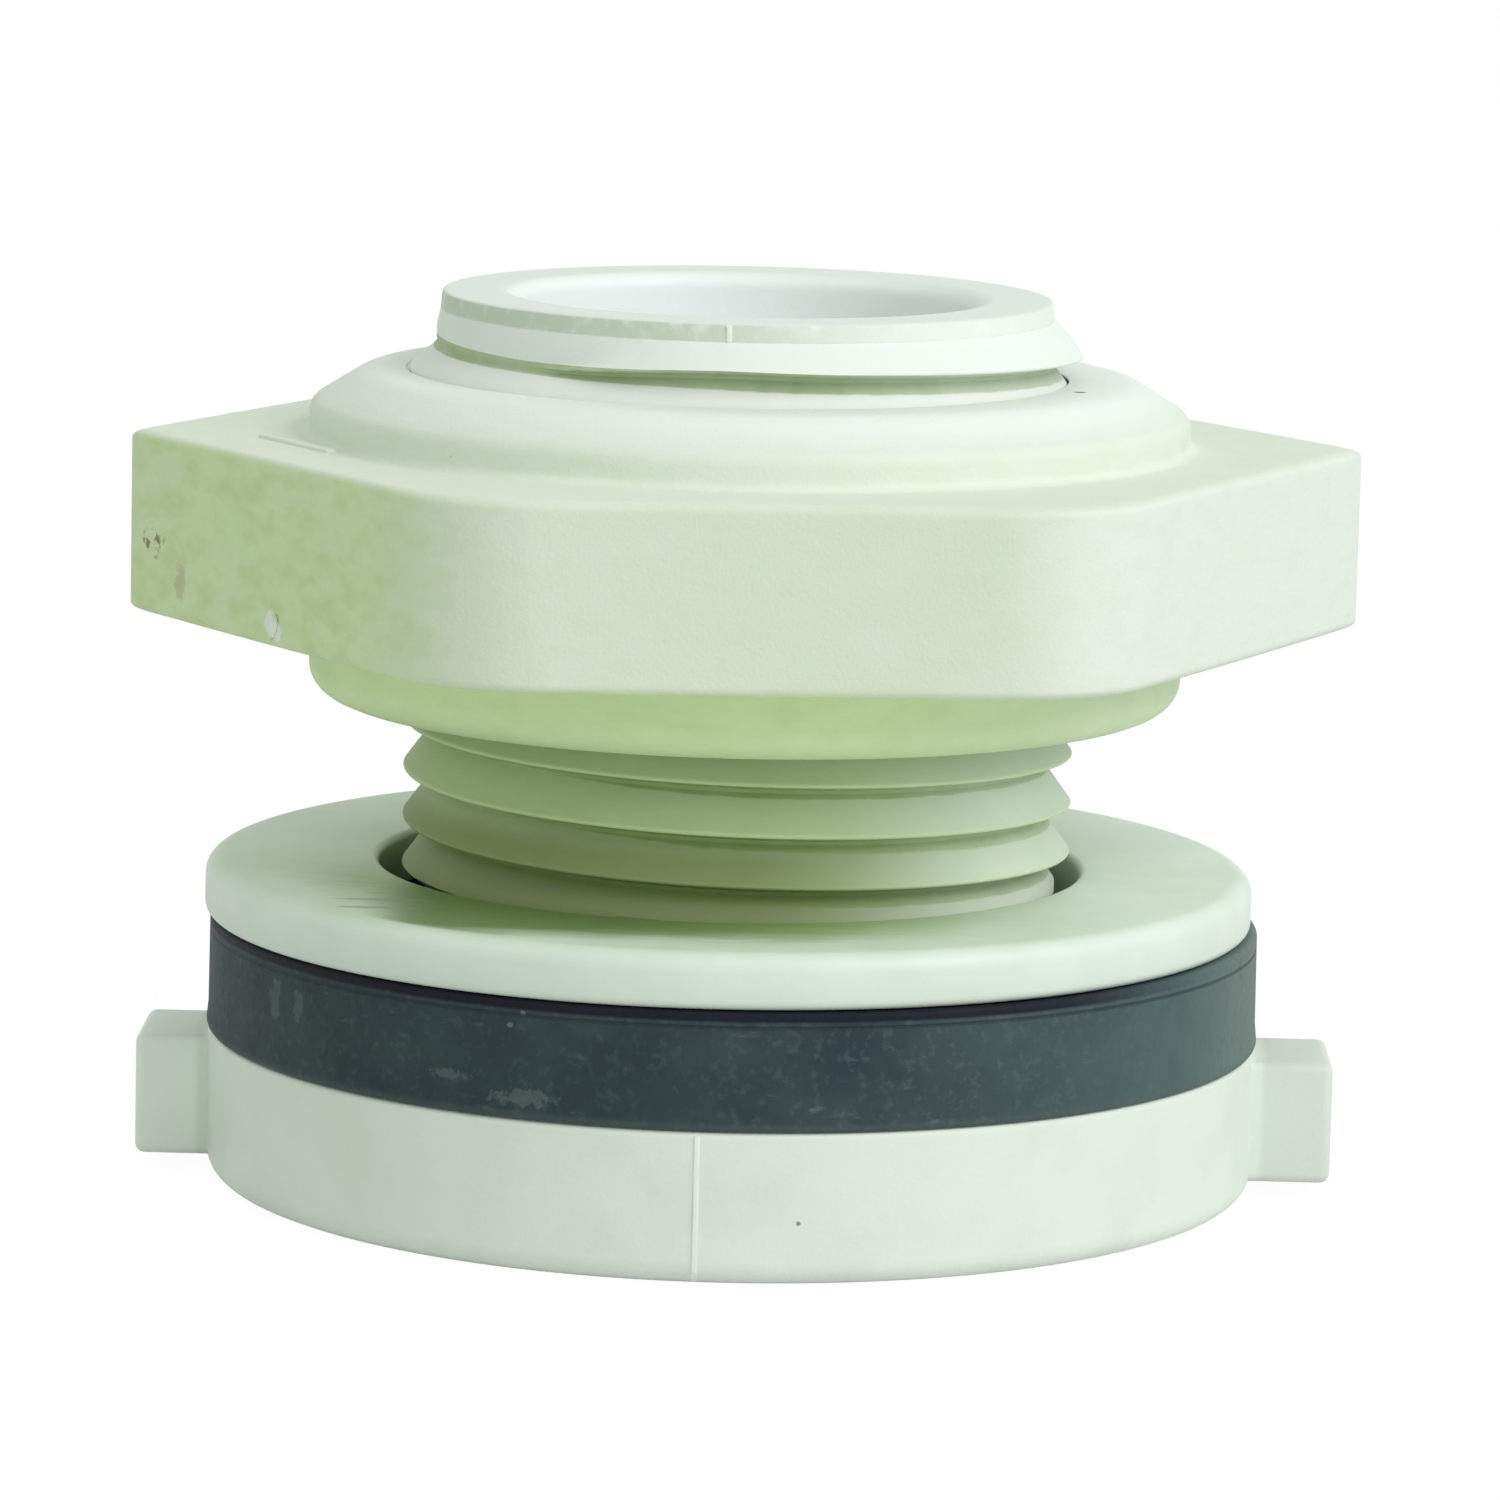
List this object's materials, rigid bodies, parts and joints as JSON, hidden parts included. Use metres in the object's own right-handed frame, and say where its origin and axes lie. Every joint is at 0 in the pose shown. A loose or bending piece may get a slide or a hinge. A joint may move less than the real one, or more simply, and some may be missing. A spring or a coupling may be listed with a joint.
{
  "type": "bulkhead tank fitting",
  "caption": "White plastic pipe connector that passes through a tank wall: flanged barrel with a coarse outer thread, rubber gasket, slip washer and hex nut, a pipe socket in each end.",
  "frame": {"origin": "centre of the flange's outer face, on the barrel's axis, at the lowest point", "axes": "+Z along the barrel from the flange to the threaded end, +X through a wrench lug, +Y completes the right-handed frame"},
  "size_m": [0.0696, 0.062, 0.0503],
  "materials": {
    "body_plastic": "off-white moulded polypropylene, matte, with a mould parting line",
    "gasket_rubber": "dark slate rubber, matte, scuffed",
    "washer_plastic": "off-white moulded plastic, smooth satin",
    "nut_plastic": "off-white moulded polypropylene, chalky matte with fine grain"
  },
  "bodies": {
    "body": {"flanged_body": "body_plastic", "gasket": "gasket_rubber"},
    "washer": {"slip_washer": "washer_plastic"},
    "nut": {"hex_nut": "nut_plastic"}
  },
  "joints": [
    {"name": "nut_turn", "type": "hinge", "parent": "body", "child": "washer", "pos_m": [0, 0, 0.017], "axis": [0, 0, 1], "range_deg": [-2880, 1165]},
    {"name": "nut_travel", "type": "slide", "parent": "washer", "child": "nut", "axis": [0, 0, 1], "range_m": [-0.00913, 0.02256]}
  ],
  "couplings": [
    {"joint": "nut_travel", "follows": "nut_turn", "m_per_rad": -0.00044882}
  ]
}
